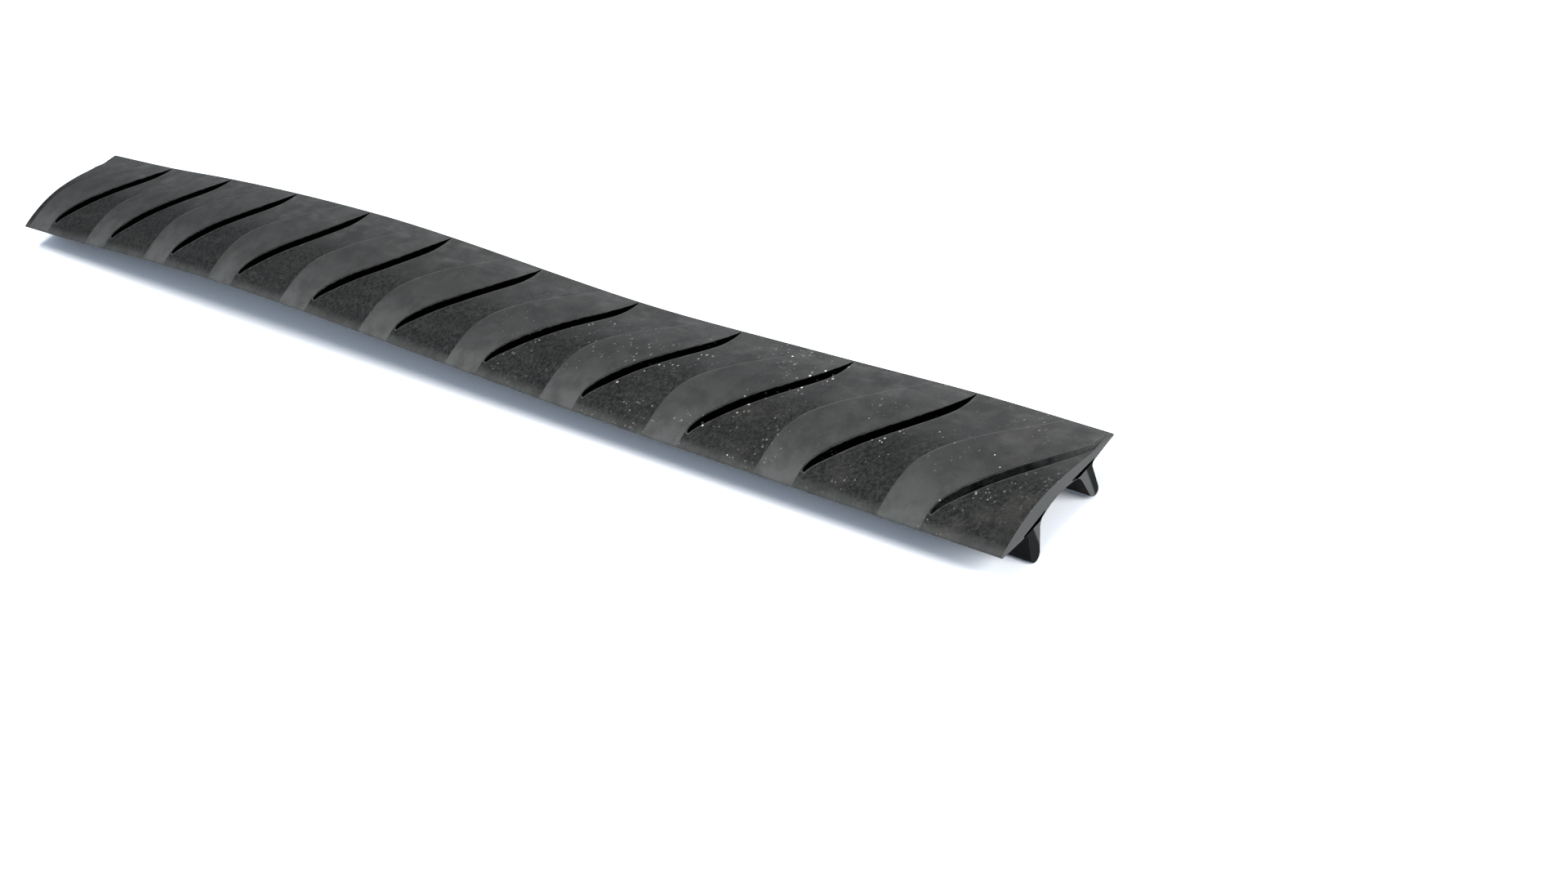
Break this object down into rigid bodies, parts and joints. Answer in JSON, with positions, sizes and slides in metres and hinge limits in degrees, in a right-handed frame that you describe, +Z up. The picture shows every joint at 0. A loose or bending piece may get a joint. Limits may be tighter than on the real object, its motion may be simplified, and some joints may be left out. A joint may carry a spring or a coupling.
{
  "type": "rubber infill strip with wave tread",
  "caption": "Flexible black rubber strip with a crowned wave-tread deck, thin side lips and two splayed legs that press into the slot of a bar.",
  "frame": {"origin": "bottom centre of the strip's box, on the surface that its feet stand on", "axes": "+X along the strip towards the near end, where the first wave's wall meets the left corner; +Y across the strip to the left; +Z up out of the tread"},
  "size_m": [0.275, 0.025, 0.0108],
  "materials": {
    "tread_rubber": "matte, smooth raised waves and rough dusty pockets",
    "leg_rubber": "matte, plain extruded"
  },
  "bodies": {
    "link_01": {"tread_deck_01": "tread_rubber", "left_leg_01": "leg_rubber", "right_leg_01": "leg_rubber"},
    "link_02": {"tread_deck_02": "tread_rubber", "left_leg_02": "leg_rubber", "right_leg_02": "leg_rubber"},
    "link_03": {"tread_deck_03": "tread_rubber", "left_leg_03": "leg_rubber", "right_leg_03": "leg_rubber"},
    "link_04": {"tread_deck_04": "tread_rubber", "left_leg_04": "leg_rubber", "right_leg_04": "leg_rubber"},
    "link_05": {"tread_deck_05": "tread_rubber", "left_leg_05": "leg_rubber", "right_leg_05": "leg_rubber"},
    "link_06": {"tread_deck_06": "tread_rubber", "left_leg_06": "leg_rubber", "right_leg_06": "leg_rubber"},
    "link_07": {"tread_deck_07": "tread_rubber", "left_leg_07": "leg_rubber", "right_leg_07": "leg_rubber"},
    "link_08": {"tread_deck_08": "tread_rubber", "left_leg_08": "leg_rubber", "right_leg_08": "leg_rubber"},
    "link_09": {"tread_deck_09": "tread_rubber", "left_leg_09": "leg_rubber", "right_leg_09": "leg_rubber"},
    "link_10": {"tread_deck_10": "tread_rubber", "left_leg_10": "leg_rubber", "right_leg_10": "leg_rubber"},
    "link_11": {"tread_deck_11": "tread_rubber", "left_leg_11": "leg_rubber", "right_leg_11": "leg_rubber"}
  },
  "joints": [
    {"name": "bend_01", "type": "hinge", "parent": "link_01", "child": "link_02", "pos_m": [0.11248, 0, 0.0056], "axis": [0, 1, 0], "range_deg": [-15, 15], "stiffness_Nm_per_rad": 0.072, "springref_deg": -1.93},
    {"name": "bend_02", "type": "hinge", "parent": "link_02", "child": "link_03", "pos_m": [0.08748, 0, 0.00563], "axis": [0, 1, 0], "range_deg": [-15, 15], "stiffness_Nm_per_rad": 0.072, "springref_deg": -3.47},
    {"name": "bend_03", "type": "hinge", "parent": "link_03", "child": "link_04", "pos_m": [0.06248, 0, 0.00577], "axis": [0, 1, 0], "range_deg": [-15, 15], "stiffness_Nm_per_rad": 0.072, "springref_deg": -4.62},
    {"name": "bend_04", "type": "hinge", "parent": "link_04", "child": "link_05", "pos_m": [0.03748, 0, 0.00612], "axis": [0, 1, 0], "range_deg": [-15, 15], "stiffness_Nm_per_rad": 0.072, "springref_deg": -5.39},
    {"name": "bend_05", "type": "hinge", "parent": "link_05", "child": "link_06", "pos_m": [0.01249, 0, 0.00677], "axis": [0, 1, 0], "range_deg": [-15, 15], "stiffness_Nm_per_rad": 0.072, "springref_deg": -5.78},
    {"name": "bend_06", "type": "hinge", "parent": "link_06", "child": "link_07", "pos_m": [-0.01249, 0, 0.00767], "axis": [0, 1, 0], "range_deg": [-15, 15], "stiffness_Nm_per_rad": 0.072, "springref_deg": -5.78},
    {"name": "bend_07", "type": "hinge", "parent": "link_07", "child": "link_08", "pos_m": [-0.03748, 0, 0.00852], "axis": [0, 1, 0], "range_deg": [-15, 15], "stiffness_Nm_per_rad": 0.072, "springref_deg": -5.39},
    {"name": "bend_08", "type": "hinge", "parent": "link_08", "child": "link_09", "pos_m": [-0.06248, 0, 0.00877], "axis": [0, 1, 0], "range_deg": [-15, 15], "stiffness_Nm_per_rad": 0.072, "springref_deg": -4.62},
    {"name": "bend_09", "type": "hinge", "parent": "link_09", "child": "link_10", "pos_m": [-0.08747, 0, 0.00798], "axis": [0, 1, 0], "range_deg": [-15, 15], "stiffness_Nm_per_rad": 0.072, "springref_deg": -3.47},
    {"name": "bend_10", "type": "hinge", "parent": "link_10", "child": "link_11", "pos_m": [-0.11242, 0, 0.00646], "axis": [0, 1, 0], "range_deg": [-15, 15], "stiffness_Nm_per_rad": 0.072, "springref_deg": -1.93}
  ]
}
